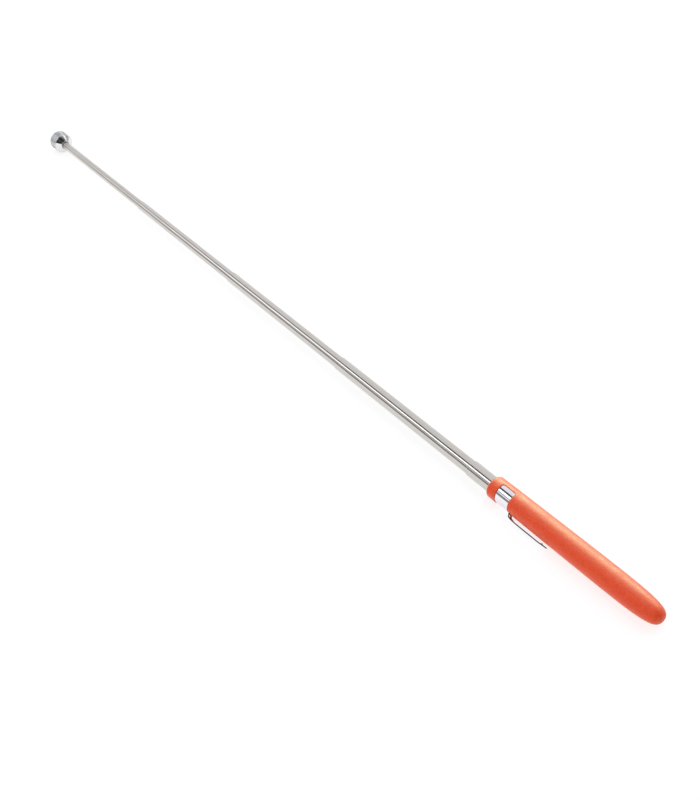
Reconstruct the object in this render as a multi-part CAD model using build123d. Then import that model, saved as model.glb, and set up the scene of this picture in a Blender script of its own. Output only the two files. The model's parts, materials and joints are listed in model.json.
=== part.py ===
from build123d import *
import os
from math import asin, atan, degrees, hypot

# A pocket magnetic pick-up tool: five telescoping steel tubes, a knurled magnet head and a
# sleeved handle with a pocket clip. All lengths are in millimetres.
# The tool's axis is X. The magnet's face is at x = 0 and the handle runs towards +X.
# The parts stand pulled out to full length.

# ---- Telescoping tubes, counted from the handle to the tip ----
TUBE_DIAMETERS = [9.6, 8.6, 7.6, 6.6, 5.6]
TUBE_WALL = 0.25
TUBE_PITCH = 121.0          # what each drawn tube shows between its mouth and the next one
TIP_TUBE_SHOWN = 118.0      # what the tip tube shows when drawn
OUTER_TUBE_SHOWN = 18.5     # what the fixed tube shows in front of the handle
NESTED_STEP = 2.1           # what each tube still shows when pushed home
TIP_NESTED_STEP = 4.1       # what the tip tube still shows when pushed home

MOUTH_LIP = 1.0             # length of the rolled-in lip at a tube's mouth
MOUTH_ROUND = 0.18          # how far the lip's outer edge turns in
MOUTH_CLEARANCE = 0.05      # radial, between a lip and the tube that runs in it

# ---- Stops and friction parts at the inner end of each drawn tube ----
FRICTION_SLEEVE_LENGTH = 8.0
SLEEVE_BORE_CLEARANCE = 0.05
SLEEVE_OUTER_CLEARANCE = 0.04
SLEEVE_SLIT = 0.8
STOP_BEAD_LENGTH = 0.8
STOP_BEAD_HEIGHT = 0.15
STOP_GAP = 0.15             # bead to lip, at full draw
END_PLAY = 0.1              # at each end of a friction sleeve
PLUG_SPIGOT = 0.95
PLUG_FLANGE_CLEARANCE = 0.08
NESTED_GAP = 0.15           # between two base plugs when pushed home
PLUG_FIT = 0.01             # radial, pressed parts
PLUG_TAIL_RADIUS = 1.8
OUTER_PLUG_SPIGOT = 2.0
OUTER_PLUG_FLANGE = 0.8

# ---- Magnet head ----
HEAD_RADIUS = 7.5
HEAD_LENGTH = 8.8
HEAD_EDGE = 0.35
CONE_LENGTH = 2.6
CONE_END_RADIUS = 3.35
MAGNET_RADIUS = 5.95
MAGNET_LENGTH = 4.2
MAGNET_GAP = 0.35           # width of the non-magnetic ring around the magnet
GAP_RING_RECESS = 0.25
BACKING_THICKNESS = 1.0
HEAD_PART_FIT = 0.02
SCREW_RADIUS = 1.25
SCREW_HEAD_RADIUS = 2.3
SCREW_HEAD_LENGTH = 1.8
SCREW_POCKET_RADIUS = 2.6
SCREW_POCKET_LENGTH = 2.2
SCREW_HOLE_RADIUS = 1.35
SCREW_SOCKET_WIDTH = 2.0
SCREW_SOCKET_DEPTH = 1.1
SCREW_END = 20.0
COLLAR_RADIUS = 3.15
COLLAR_LENGTH = 0.95
WASHER_RADIUS = 3.0
WASHER_LENGTH = 0.45
TIP_PLUG_LENGTH = 9.2

# ---- Handle ----
HANDLE_LENGTH = 120.0
CORE_RADIUS = 5.50
CORE_FRONT = 1.0
CORE_END = 108.0
CORE_FIT = 0.02
SLEEVE_MOUTH_RADIUS = 5.05
SLEEVE_BORE_RADIUS = 5.52
SLEEVE_END_BORE_RADIUS = 4.90
SLEEVE_FRONT_RADIUS = 6.5
SLEEVE_SHOULDER_RADIUS = 6.65
SLEEVE_BELLY_RADIUS = 6.95
SLEEVE_BELLY = 86.0         # distance of the thickest place from the handle's front
SLEEVE_SWELL = (0.50, 0.75)  # where the swelling curve is steered, as shares of SLEEVE_BELLY
SLEEVE_SWELL_DROP = 0.12    # how far below the belly it is steered at first
SLEEVE_DOME_LENGTH = 2.5    # how near the butt the dome's curve is steered
SLEEVE_DOME_SHARE = 0.75    # how blunt the dome is, as a share of the belly's radius
SLEEVE_RIM_ROUND = 1.1

# ---- Pocket clip ----
BAND_FRONT = 6.95           # from the handle's front
BAND_REAR = 16.35
BAND_INNER_RADIUS = 5.54
BAND_OUTER_RADIUS = 6.2
BAND_HALF_ANGLE = 126.0
WINDOW_GAP = 0.15           # between the band and the window's edge
WINDOW_HALF_ANGLE = 128.5
WINDOW_CORNER = 1.3
NOTCH_REAR = 19.5
NOTCH_WIDTH = 4.8
CLIP_THICKNESS = 0.64
CLIP_START = 16.5
CLIP_RISE = 17.6
CLIP_RISE_LENGTH = 1.0      # length over which the arm rises to its full height
CLIP_HEIGHT = 8.8           # from the tool's axis to the middle of the arm's sheet
CLIP_PAD_START = 40.6
CLIP_END = 47.0
CLIP_END_HEIGHT = 8.45
CLIP_BENDS = [0.75, 1.3, 20]  # radii of its bends, from the root on
CLIP_FLARE = 1.5            # length of the flare at the root, after the rise starts
CLIP_PAD_FLARE = 0.6       # length over which the pad widens
CLIP_END_ROUND = 0.8        # share of the pad's half width that its end is rounded by
CLIP_ROOT_WIDTH = 4.0
CLIP_WIDTH = 3.2
CLIP_PAD_WIDTH = 4.0
CLIP_DIMPLE = 43.8
CLIP_DIMPLE_RADIUS = 1.6
CLIP_REST_GAP = 0.15        # between the dimple and the sleeve

# ---- Helpers for cutting and measuring ----
CUT_MARGIN = 1.0            # how far a cutting shape reaches past what it cuts
THIN_SLICE = 0.01           # thickness of a slice whose size is read off

# ---- Places worked out from the sizes above ----
NECK_END = HEAD_LENGTH + CONE_LENGTH + COLLAR_LENGTH + WASHER_LENGTH
MOUTHS = [NECK_END + TIP_TUBE_SHOWN + TUBE_PITCH * n for n in (3, 2, 1, 0)] + [NECK_END]
HANDLE_FRONT = MOUTHS[0] + OUTER_TUBE_SHOWN
SLEEVE_START = MOUTH_LIP + STOP_GAP + STOP_BEAD_LENGTH + END_PLAY
TUBE_OVERLAP = SLEEVE_START + FRICTION_SLEEVE_LENGTH + END_PLAY
PLUG_FLANGE = NESTED_STEP - PLUG_SPIGOT - NESTED_GAP
TUBE_TRAVEL = TUBE_PITCH - NESTED_STEP
TIP_TRAVEL = TIP_TUBE_SHOWN - TIP_NESTED_STEP
OUTER_TUBE_END = MOUTHS[0] + TUBE_PITCH + TUBE_OVERLAP - PLUG_SPIGOT + OUTER_PLUG_SPIGOT
TUBE_NAMES = ["outer", "second", "third", "fourth", "tip"]

# The tool lies on a table on its head and one edge of its clip. That sets how far the clip
# is turned about the axis: CLIP_DROP is the angle of the clip below the horizontal.
CLIP_TOP = CLIP_HEIGHT + CLIP_THICKNESS / 2
CLIP_EDGE = hypot(CLIP_TOP, CLIP_PAD_WIDTH / 2)
CLIP_DROP = degrees(asin(HEAD_RADIUS / CLIP_EDGE) - atan(CLIP_PAD_WIDTH / 2 / CLIP_TOP))
CLIP_TURN = Rot(X=90 + CLIP_DROP)


def turned(*outline):
    """A solid of revolution about X from corner points (x, radius)."""
    return revolve(make_face(Polyline(*outline, close=True)), Axis.X)


def ring(start, end, inner, outer):
    """A plain ring about X."""
    return turned((start, inner), (end, inner), (end, outer), (start, outer))


def rod(start, end, radius):
    """A plain rod about X."""
    return ring(start, end, 0, radius)


def outer_radius(n):
    return TUBE_DIAMETERS[n] / 2


def bore_radius(n):
    return outer_radius(n) - TUBE_WALL


def tube_end(n):
    """Where tube n's inner end stands when the tool is drawn."""
    return OUTER_TUBE_END if n == 0 else MOUTHS[n - 1] + TUBE_OVERLAP


def telescoping_tube(n):
    """A drawn tube with a rolled-in mouth, and a stop bead near its inner end."""
    mouth, end, outer, bore = MOUTHS[n], tube_end(n), outer_radius(n), bore_radius(n)
    if n + 1 < len(TUBE_DIAMETERS):
        lip = outer_radius(n + 1) + MOUTH_CLEARANCE
        tube = turned(
            (mouth, lip),
            (mouth, outer - MOUTH_ROUND),
            (mouth + MOUTH_LIP / 2, outer),
            (end, outer),
            (end, bore),
            (mouth + MOUTH_LIP, bore),
            (mouth + MOUTH_LIP, lip),
        )
    else:
        tube = ring(mouth, end, bore, outer)
    if n > 0:
        bead = MOUTHS[n - 1] + MOUTH_LIP + STOP_GAP
        tube += ring(bead, bead + STOP_BEAD_LENGTH, outer - TUBE_WALL / 2, outer + STOP_BEAD_HEIGHT)
    return tube


def friction_sleeve(n):
    """A split spring sleeve that sits around tube n and rubs in the tube outside it."""
    start = MOUTHS[n - 1] + SLEEVE_START
    inner = outer_radius(n) + SLEEVE_BORE_CLEARANCE
    outer = bore_radius(n - 1) - SLEEVE_OUTER_CLEARANCE
    sleeve = ring(start, start + FRICTION_SLEEVE_LENGTH, inner, outer)
    slit = Pos(start + FRICTION_SLEEVE_LENGTH / 2, 0, outer) * Box(
        FRICTION_SLEEVE_LENGTH + CUT_MARGIN, SLEEVE_SLIT, outer
    )
    return sleeve - slit


def base_plug(n):
    """A turned plug pressed into tube n's inner end, whose flange keeps the sleeve on."""
    end = tube_end(n)
    plug = rod(end - PLUG_SPIGOT, end, bore_radius(n) - PLUG_FIT)
    plug += rod(end, end + PLUG_FLANGE, bore_radius(n - 1) - PLUG_FLANGE_CLEARANCE)
    if n == len(TUBE_DIAMETERS) - 1:
        tail = end + PLUG_FLANGE + TUBE_TRAVEL - TIP_TRAVEL
        plug += rod(end, tail, PLUG_TAIL_RADIUS)
    return plug


def outer_tube_plug():
    """Closes the fixed tube inside the handle's butt."""
    plug = rod(OUTER_TUBE_END - OUTER_PLUG_SPIGOT, OUTER_TUBE_END, bore_radius(0) - PLUG_FIT)
    return plug + rod(OUTER_TUBE_END, OUTER_TUBE_END + OUTER_PLUG_FLANGE, outer_radius(0))


def head_housing():
    """The steel cup: a plain cylinder over the knurl's crests and a cone down to the neck."""
    pocket = MAGNET_LENGTH + BACKING_THICKNESS
    return turned(
        (0, MAGNET_RADIUS + MAGNET_GAP),
        (0, HEAD_RADIUS - HEAD_EDGE),
        (HEAD_EDGE, HEAD_RADIUS),
        (HEAD_LENGTH - HEAD_EDGE, HEAD_RADIUS),
        (HEAD_LENGTH, HEAD_RADIUS - HEAD_EDGE),
        (HEAD_LENGTH + CONE_LENGTH, CONE_END_RADIUS),
        (HEAD_LENGTH + CONE_LENGTH, SCREW_HOLE_RADIUS),
        (pocket + SCREW_POCKET_LENGTH, SCREW_HOLE_RADIUS),
        (pocket + SCREW_POCKET_LENGTH, SCREW_POCKET_RADIUS),
        (pocket, SCREW_POCKET_RADIUS),
        (pocket, MAGNET_RADIUS + MAGNET_GAP),
    )


def magnet():
    return rod(0, MAGNET_LENGTH, MAGNET_RADIUS)


def magnet_gap_ring():
    """The non-magnetic ring that keeps the magnet clear of the cup's rim."""
    inner, outer = MAGNET_RADIUS + HEAD_PART_FIT, MAGNET_RADIUS + MAGNET_GAP - HEAD_PART_FIT
    return ring(GAP_RING_RECESS, MAGNET_LENGTH, inner, outer)


def backing_plate():
    """The steel plate behind the magnet."""
    radius = MAGNET_RADIUS + MAGNET_GAP - HEAD_PART_FIT
    return rod(MAGNET_LENGTH, MAGNET_LENGTH + BACKING_THICKNESS, radius)


def head_screw():
    """The socket screw that ties the head, collar and washer to the tip tube."""
    seat = MAGNET_LENGTH + BACKING_THICKNESS + SCREW_POCKET_LENGTH
    face = seat - SCREW_HEAD_LENGTH
    screw = rod(face, seat, SCREW_HEAD_RADIUS) + rod(seat, SCREW_END, SCREW_RADIUS)
    hexagon = Plane.YZ * RegularPolygon(SCREW_SOCKET_WIDTH / 2, 6, major_radius=False)
    return screw - Pos(face, 0, 0) * extrude(hexagon, SCREW_SOCKET_DEPTH)


def neck_collar():
    start = HEAD_LENGTH + CONE_LENGTH
    return ring(start, start + COLLAR_LENGTH, SCREW_HOLE_RADIUS, COLLAR_RADIUS)


def neck_washer():
    return ring(NECK_END - WASHER_LENGTH, NECK_END, SCREW_HOLE_RADIUS, WASHER_RADIUS)


def tip_plug():
    """The threaded plug in the tip tube's outer end."""
    radius = bore_radius(len(TUBE_DIAMETERS) - 1) - PLUG_FIT
    return ring(NECK_END, NECK_END + TIP_PLUG_LENGTH, SCREW_RADIUS + HEAD_PART_FIT, radius)


def handle_core():
    """The stiff liner between the fixed tube and the sleeve."""
    start, end = HANDLE_FRONT + CORE_FRONT, HANDLE_FRONT + CORE_END
    return ring(start, end, outer_radius(0) + CORE_FIT, CORE_RADIUS)


def sleeve_body():
    """The barrel-shaped sleeve, closed at the butt, before its window is cut."""
    shoulder = BAND_REAR + WINDOW_GAP
    rim = SLEEVE_RIM_ROUND
    bore_end = OUTER_TUBE_END + OUTER_PLUG_FLANGE - HANDLE_FRONT + END_PLAY
    core_end = CORE_END + END_PLAY
    outline = [
        Line((0, SLEEVE_MOUTH_RADIUS), (0, SLEEVE_FRONT_RADIUS - rim)),
        RadiusArc((0, SLEEVE_FRONT_RADIUS - rim), (rim, SLEEVE_FRONT_RADIUS), rim),
        Line((rim, SLEEVE_FRONT_RADIUS), (shoulder, SLEEVE_SHOULDER_RADIUS)),
        Bezier(
            (shoulder, SLEEVE_SHOULDER_RADIUS),
            (SLEEVE_BELLY * SLEEVE_SWELL[0], SLEEVE_BELLY_RADIUS - SLEEVE_SWELL_DROP),
            (SLEEVE_BELLY * SLEEVE_SWELL[1], SLEEVE_BELLY_RADIUS),
            (SLEEVE_BELLY, SLEEVE_BELLY_RADIUS),
        ),
        Bezier(
            (SLEEVE_BELLY, SLEEVE_BELLY_RADIUS),
            (HANDLE_LENGTH - SLEEVE_DOME_LENGTH, SLEEVE_BELLY_RADIUS),
            (HANDLE_LENGTH, SLEEVE_BELLY_RADIUS * SLEEVE_DOME_SHARE),
            (HANDLE_LENGTH, 0),
        ),
        Polyline(
            (HANDLE_LENGTH, 0),
            (bore_end, 0),
            (bore_end, SLEEVE_END_BORE_RADIUS),
            (core_end, SLEEVE_END_BORE_RADIUS),
            (core_end, SLEEVE_BORE_RADIUS),
            (CORE_FRONT, SLEEVE_BORE_RADIUS),
            (CORE_FRONT, SLEEVE_MOUTH_RADIUS),
            (0, SLEEVE_MOUTH_RADIUS),
        ),
    ]
    return Pos(HANDLE_FRONT, 0, 0) * revolve(make_face(outline), Axis.X)


def sector(start, end, inner, outer, half_angle):
    """Part of a ring about X, centred on the direction +Z, placed from the handle's front."""
    face = Rectangle(end - start, outer - inner, align=Align.MIN)
    placed = Pos(start, inner, 0) * face
    swept = revolve(placed, Axis.X, 2 * half_angle)
    return Pos(HANDLE_FRONT, 0, 0) * Rot(X=90 - half_angle) * swept


def round_corners(piece, radius):
    """Rounds the four corners of a sector, as seen from outside."""
    lines = piece.edges().filter_by(GeomType.LINE)
    return fillet(lines.filter_by(lambda e: abs(e.tangent_at(0).X) < 0.01), radius)


def clip_window():
    """The opening in the sleeve for the band and for the clip's root."""
    window = sector(
        BAND_FRONT - WINDOW_GAP,
        BAND_REAR + WINDOW_GAP,
        SLEEVE_BORE_RADIUS - CUT_MARGIN,
        SLEEVE_BELLY_RADIUS + CUT_MARGIN,
        WINDOW_HALF_ANGLE,
    )
    window = round_corners(window, WINDOW_CORNER)
    slot_start = BAND_REAR - CUT_MARGIN
    slot = Pos(HANDLE_FRONT + (slot_start + NOTCH_REAR) / 2, 0, SLEEVE_BELLY_RADIUS) * Box(
        NOTCH_REAR - slot_start, NOTCH_WIDTH, 2 * (SLEEVE_BELLY_RADIUS - CORE_RADIUS)
    )
    return CLIP_TURN * (window + slot)


def grip_sleeve():
    return sleeve_body() - clip_window()


def clip_band():
    """The C-shaped band of the clip, wrapped around the handle core."""
    band = sector(BAND_FRONT, BAND_REAR, BAND_INNER_RADIUS, BAND_OUTER_RADIUS, BAND_HALF_ANGLE)
    return CLIP_TURN * round_corners(band, WINDOW_CORNER)


def clip_sheet():
    """The clip arm's bent sheet, seen from the side, before its outline is cut."""
    root = (BAND_INNER_RADIUS + BAND_OUTER_RADIUS) / 2
    middle = FilletPolyline(
        (CLIP_START, root),
        (CLIP_RISE, root),
        (CLIP_RISE + CLIP_RISE_LENGTH, CLIP_HEIGHT),
        (CLIP_PAD_START, CLIP_HEIGHT),
        (CLIP_END, CLIP_END_HEIGHT),
        radius=CLIP_BENDS,
    )
    side = Plane.XZ * trace(middle, CLIP_THICKNESS)
    return extrude(side, CLIP_PAD_WIDTH, both=True)


def clip_outline():
    """The clip arm's outline, seen from outside: a flared root, a strip and a wider pad."""
    root, half, pad = CLIP_ROOT_WIDTH / 2, CLIP_WIDTH / 2, CLIP_PAD_WIDTH / 2
    upper = [
        (CLIP_START, root),
        (CLIP_RISE + CLIP_FLARE, half),
        (CLIP_PAD_START, half),
        (CLIP_PAD_START + CLIP_PAD_FLARE, pad),
        (CLIP_END, pad),
    ]
    lower = [(x, -y) for x, y in reversed(upper)]
    face = make_face(Polyline(*upper, *lower, close=True))
    corners = face.vertices().sort_by(Axis.X)[-2:]
    return extrude(fillet(corners, pad * CLIP_END_ROUND), CLIP_HEIGHT + CUT_MARGIN)


def clip_arm():
    sheet = clip_sheet() & clip_outline()
    dimple_bottom = sleeve_radius_at_dimple() + CLIP_REST_GAP
    ball = Pos(CLIP_DIMPLE, 0, dimple_bottom + CLIP_DIMPLE_RADIUS) * Sphere(CLIP_DIMPLE_RADIUS)
    under = Pos(CLIP_DIMPLE, 0, dimple_bottom) * Box(
        4 * CLIP_DIMPLE_RADIUS,
        4 * CLIP_DIMPLE_RADIUS,
        CLIP_HEIGHT - dimple_bottom,
        align=(Align.CENTER, Align.CENTER, Align.MIN),
    )
    arm = sheet + (ball & under)
    return CLIP_TURN * (Pos(HANDLE_FRONT, 0, 0) * arm)


def sleeve_radius_at_dimple():
    """The sleeve's outer radius under the clip's dimple."""
    width = 4 * SLEEVE_BELLY_RADIUS
    piece = Pos(HANDLE_FRONT + CLIP_DIMPLE, 0, 0) * Box(THIN_SLICE, width, width)
    return (sleeve_body() & piece).bounding_box().max.Z


def build():
    """Every sub-part by name."""
    parts = {
        "grip_sleeve": grip_sleeve(),
        "handle_core": handle_core(),
        "clip_band": clip_band(),
        "clip_arm": clip_arm(),
        "outer_tube_plug": outer_tube_plug(),
        "head_housing": head_housing(),
        "magnet": magnet(),
        "magnet_gap_ring": magnet_gap_ring(),
        "backing_plate": backing_plate(),
        "head_screw": head_screw(),
        "neck_collar": neck_collar(),
        "neck_washer": neck_washer(),
        "tip_plug": tip_plug(),
    }
    for n, name in enumerate(TUBE_NAMES):
        parts[f"{name}_tube"] = telescoping_tube(n)
        if n > 0:
            parts[f"{name}_friction_sleeve"] = friction_sleeve(n)
            parts[f"{name}_base_plug"] = base_plug(n)
    return parts


os.makedirs("parts", exist_ok=True)
for name, shape in build().items():
    export_step(shape, f"parts/{name}.step")
print(f"clip {CLIP_DROP:.2f} degrees below the horizontal, hinge at x {HANDLE_FRONT + CLIP_START:.3f}")
print(f"travel {TUBE_TRAVEL:.2f} mm, tip {TIP_TRAVEL:.2f} mm, length {HANDLE_FRONT + HANDLE_LENGTH:.2f} mm")
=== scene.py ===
import json
import math

import bmesh
import bpy
from bpy.props import FloatProperty, FloatVectorProperty, IntProperty, PointerProperty
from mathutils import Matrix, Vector


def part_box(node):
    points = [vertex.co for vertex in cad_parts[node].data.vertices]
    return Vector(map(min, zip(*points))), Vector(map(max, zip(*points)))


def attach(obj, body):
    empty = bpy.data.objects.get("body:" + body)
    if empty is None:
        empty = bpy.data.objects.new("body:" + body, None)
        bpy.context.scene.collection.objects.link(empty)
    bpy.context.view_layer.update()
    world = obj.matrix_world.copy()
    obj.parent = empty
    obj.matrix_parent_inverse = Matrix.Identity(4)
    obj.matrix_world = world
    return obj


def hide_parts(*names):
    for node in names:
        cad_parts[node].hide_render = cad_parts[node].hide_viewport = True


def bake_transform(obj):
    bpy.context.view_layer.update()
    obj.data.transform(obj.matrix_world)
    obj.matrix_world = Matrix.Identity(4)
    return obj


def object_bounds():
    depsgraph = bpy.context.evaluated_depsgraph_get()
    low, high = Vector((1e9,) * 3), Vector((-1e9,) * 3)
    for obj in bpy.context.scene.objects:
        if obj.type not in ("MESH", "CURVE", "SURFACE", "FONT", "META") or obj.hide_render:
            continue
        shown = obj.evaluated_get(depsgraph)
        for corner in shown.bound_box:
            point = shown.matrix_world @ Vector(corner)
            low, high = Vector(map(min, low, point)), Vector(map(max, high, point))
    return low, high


bl_info = {
    "name": "Telescoping pick-up tool",
    "version": (1, 0, 0),
    "blender": (4, 5, 0),
    "location": "3D View > Sidebar > Pick-up tool",
    "description": "Models a telescoping magnetic pick-up tool with a sleeved handle and a clip",
    "category": "Add Mesh",
}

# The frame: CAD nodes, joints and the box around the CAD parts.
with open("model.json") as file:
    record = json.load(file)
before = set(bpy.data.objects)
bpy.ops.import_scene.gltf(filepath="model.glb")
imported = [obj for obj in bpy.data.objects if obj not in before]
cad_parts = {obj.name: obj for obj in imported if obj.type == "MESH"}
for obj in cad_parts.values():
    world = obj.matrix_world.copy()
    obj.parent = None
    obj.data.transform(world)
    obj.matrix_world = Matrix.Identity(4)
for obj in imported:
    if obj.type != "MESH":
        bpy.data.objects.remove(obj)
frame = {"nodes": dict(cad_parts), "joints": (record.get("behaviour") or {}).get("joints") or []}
CAD_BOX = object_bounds()

MM = 0.001
TUBE_NAMES = ("outer", "second", "third", "fourth", "tip")
TUBE_BODIES = ("handle", "second_section", "third_section", "fourth_section", "tip_section")


def node_ends(node):
    """A CAD node's first and last place along the tool, in millimetres."""
    low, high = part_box(node)
    return low.x / MM, high.x / MM


def node_radius(node):
    """A CAD node's outer radius about the tool's axis, in millimetres."""
    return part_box(node)[1].z / MM


# The clip's side of the tool: its hinge lies on a line from the axis through the clip.
HINGE = next(j for j in frame["joints"] if j["name"] == "clip_flex")["pos_m"]
CLIP_TURN = math.atan2(-HINGE[1], HINGE[2])

HANDLE_FRONT = node_ends("grip_sleeve")[0]
SCREW_HOLE = 1.35  # radius of the hole through the head, collar and washer


# ---------------------------------------------------------------- sizes and colours


class PickupToolSizes(bpy.types.PropertyGroup):
    tube_diameters: FloatVectorProperty(
        name="Tube diameters",
        description="Outer diameters in millimetres, from the handle to the tip",
        size=5,
        default=(9.6, 8.6, 7.6, 6.6, 5.6),
    )
    tube_wall: FloatProperty(
        name="Tube wall", description="Wall thickness in millimetres", default=0.25
    )
    tube_columns: IntProperty(
        name="Tube columns", description="Faces around each tube", default=96
    )
    knurl_columns: IntProperty(
        name="Knurl diamonds", description="Diamonds around the head", default=36
    )
    knurl_pitch: FloatProperty(
        name="Knurl pitch", description="Length of one diamond in millimetres", default=2.15
    )
    knurl_root: FloatProperty(
        name="Knurl root", description="Radius of the knurl's grooves in millimetres", default=7.06
    )
    clip_thickness: FloatProperty(
        name="Clip thickness", description="Sheet thickness in millimetres", default=0.62
    )
    camera_lens: FloatProperty(
        name="Lens", description="The camera's focal length", default=57.50, unit="CAMERA"
    )


def colour_property(name, description, colour):
    return FloatVectorProperty(
        name=name, description=description, subtype="COLOR", size=4, min=0, max=1,
        default=(*colour, 1),
    )


class PickupToolColours(bpy.types.PropertyGroup):
    vinyl: colour_property("Vinyl", "The sleeve's main colour", (0.84, 0.052, 0.001))
    vinyl_deep: colour_property("Deep vinyl", "The sleeve's deeper patches", (0.73, 0.034, 0.001))
    tube: colour_property("Tube", "The plated tubes", (0.62, 0.60, 0.57))
    clip: colour_property("Clip", "The bright clip", (0.86, 0.85, 0.89))
    head: colour_property("Head", "The satin head", (0.74, 0.745, 0.74))


# ---------------------------------------------------------------- modelling helpers


def deselect_all():
    bpy.ops.object.select_all(action="DESELECT")


def select_all():
    bpy.ops.mesh.select_all(action="SELECT")


def face_outwards():
    """Turns every face of the piece in edit mode outwards."""
    select_all()
    bpy.ops.mesh.normals_make_consistent(inside=False)


def start_ring(name, x, radius, columns, turn=0.0):
    """Adds a circle about the tool's axis and leaves its edges selected in edit mode.
    Its first corner points up, or is turned about the axis."""
    deselect_all()
    bpy.ops.mesh.primitive_circle_add(
        vertices=columns,
        radius=radius * MM,
        location=(x * MM, 0, 0),
        rotation=(math.pi / 2, -turn, math.pi / 2),
    )
    piece = bpy.context.object
    piece.name = name
    piece.data.name = name
    bpy.ops.object.transform_apply(location=True, rotation=True, scale=True)
    bpy.ops.object.mode_set(mode="EDIT")
    bpy.ops.mesh.select_mode(type="EDGE")
    select_all()
    return piece


def extrude_ring(before, after):
    """Extrudes the selected ring from one (x, radius) to the next."""
    bpy.ops.mesh.extrude_region_move(
        TRANSFORM_OT_translate={"value": ((after[0] - before[0]) * MM, 0, 0)}
    )
    grow = after[1] / before[1]
    bpy.ops.transform.resize(value=(1, grow, grow), center_override=(after[0] * MM, 0, 0))


def choose(piece, kind, test):
    """Selects the corners, edges or faces that pass a test, in edit mode."""
    modes = {"verts": "VERT", "edges": "EDGE", "faces": "FACE"}
    bpy.ops.mesh.select_mode(type=modes[kind])
    bpy.ops.mesh.select_all(action="DESELECT")
    mesh = bmesh.from_edit_mesh(piece.data)
    for part in [part for part in getattr(mesh, kind) if test(part)]:
        part.select_set(True)
    mesh.select_flush(True)
    bmesh.update_edit_mesh(piece.data)


def away(point):
    """Distance from the tool's axis, in millimetres."""
    return math.hypot(point.y, point.z) / MM


def at_place(corner, x, radius, slack=0.004):
    return abs(corner.co.x / MM - x) < slack and abs(away(corner.co) - radius) < slack


def lathe(name, outline, columns, turn=0.0, eased=()):
    """Extrudes a circle along an outline of (x, radius), which is closed into a loop or ends
    on the axis. Eased is a list of (the rings to bevel, bevel width, segments)."""
    speck = 0.02
    points = [(x, max(radius, speck)) for x, radius in outline]
    piece = start_ring(name, *points[0], columns, turn)
    for before, after in zip(points, points[1:]):
        extrude_ring(before, after)
    for x, radius in (outline[0], outline[-1]):
        if radius == 0:
            choose(piece, "verts", lambda v: at_place(v, x, speck))
            bpy.ops.mesh.merge(type="CENTER")
    select_all()
    bpy.ops.mesh.remove_doubles(threshold=0.000002)
    face_outwards()
    for places, width, segments in eased:
        choose(
            piece, "edges",
            lambda e: any(all(at_place(v, *place) for v in e.verts) for place in places),
        )
        bpy.ops.mesh.bevel(
            offset=width * MM, offset_type="OFFSET", segments=segments, affect="EDGES"
        )
    return piece


def coat(piece, material):
    piece.data.materials.clear()
    piece.data.materials.append(material)


def set_in_place(piece, body, material, node=None, angle=None):
    """Leaves edit mode, shades and coats the piece, and sets it on its body and in place of its
    CAD node."""
    bpy.ops.object.mode_set(mode="OBJECT")
    if angle:
        bpy.ops.object.shade_smooth_by_angle(angle=math.radians(angle))
    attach(piece, body)
    coat(piece, material)
    if node:
        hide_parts(node)


def add_smoothing(piece):
    smooth = piece.modifiers.new("Smooth", "SUBSURF")
    smooth.levels = 2
    smooth.render_levels = 2


def apply_modifiers(piece):
    for modifier in list(piece.modifiers):
        bpy.ops.object.modifier_apply(modifier=modifier.name)


# ---------------------------------------------------------------- finishes


def new_material(name):
    material = bpy.data.materials.new(name)
    material.use_nodes = True
    material.node_tree.nodes.clear()
    return material, material.node_tree.nodes, material.node_tree.links


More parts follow.
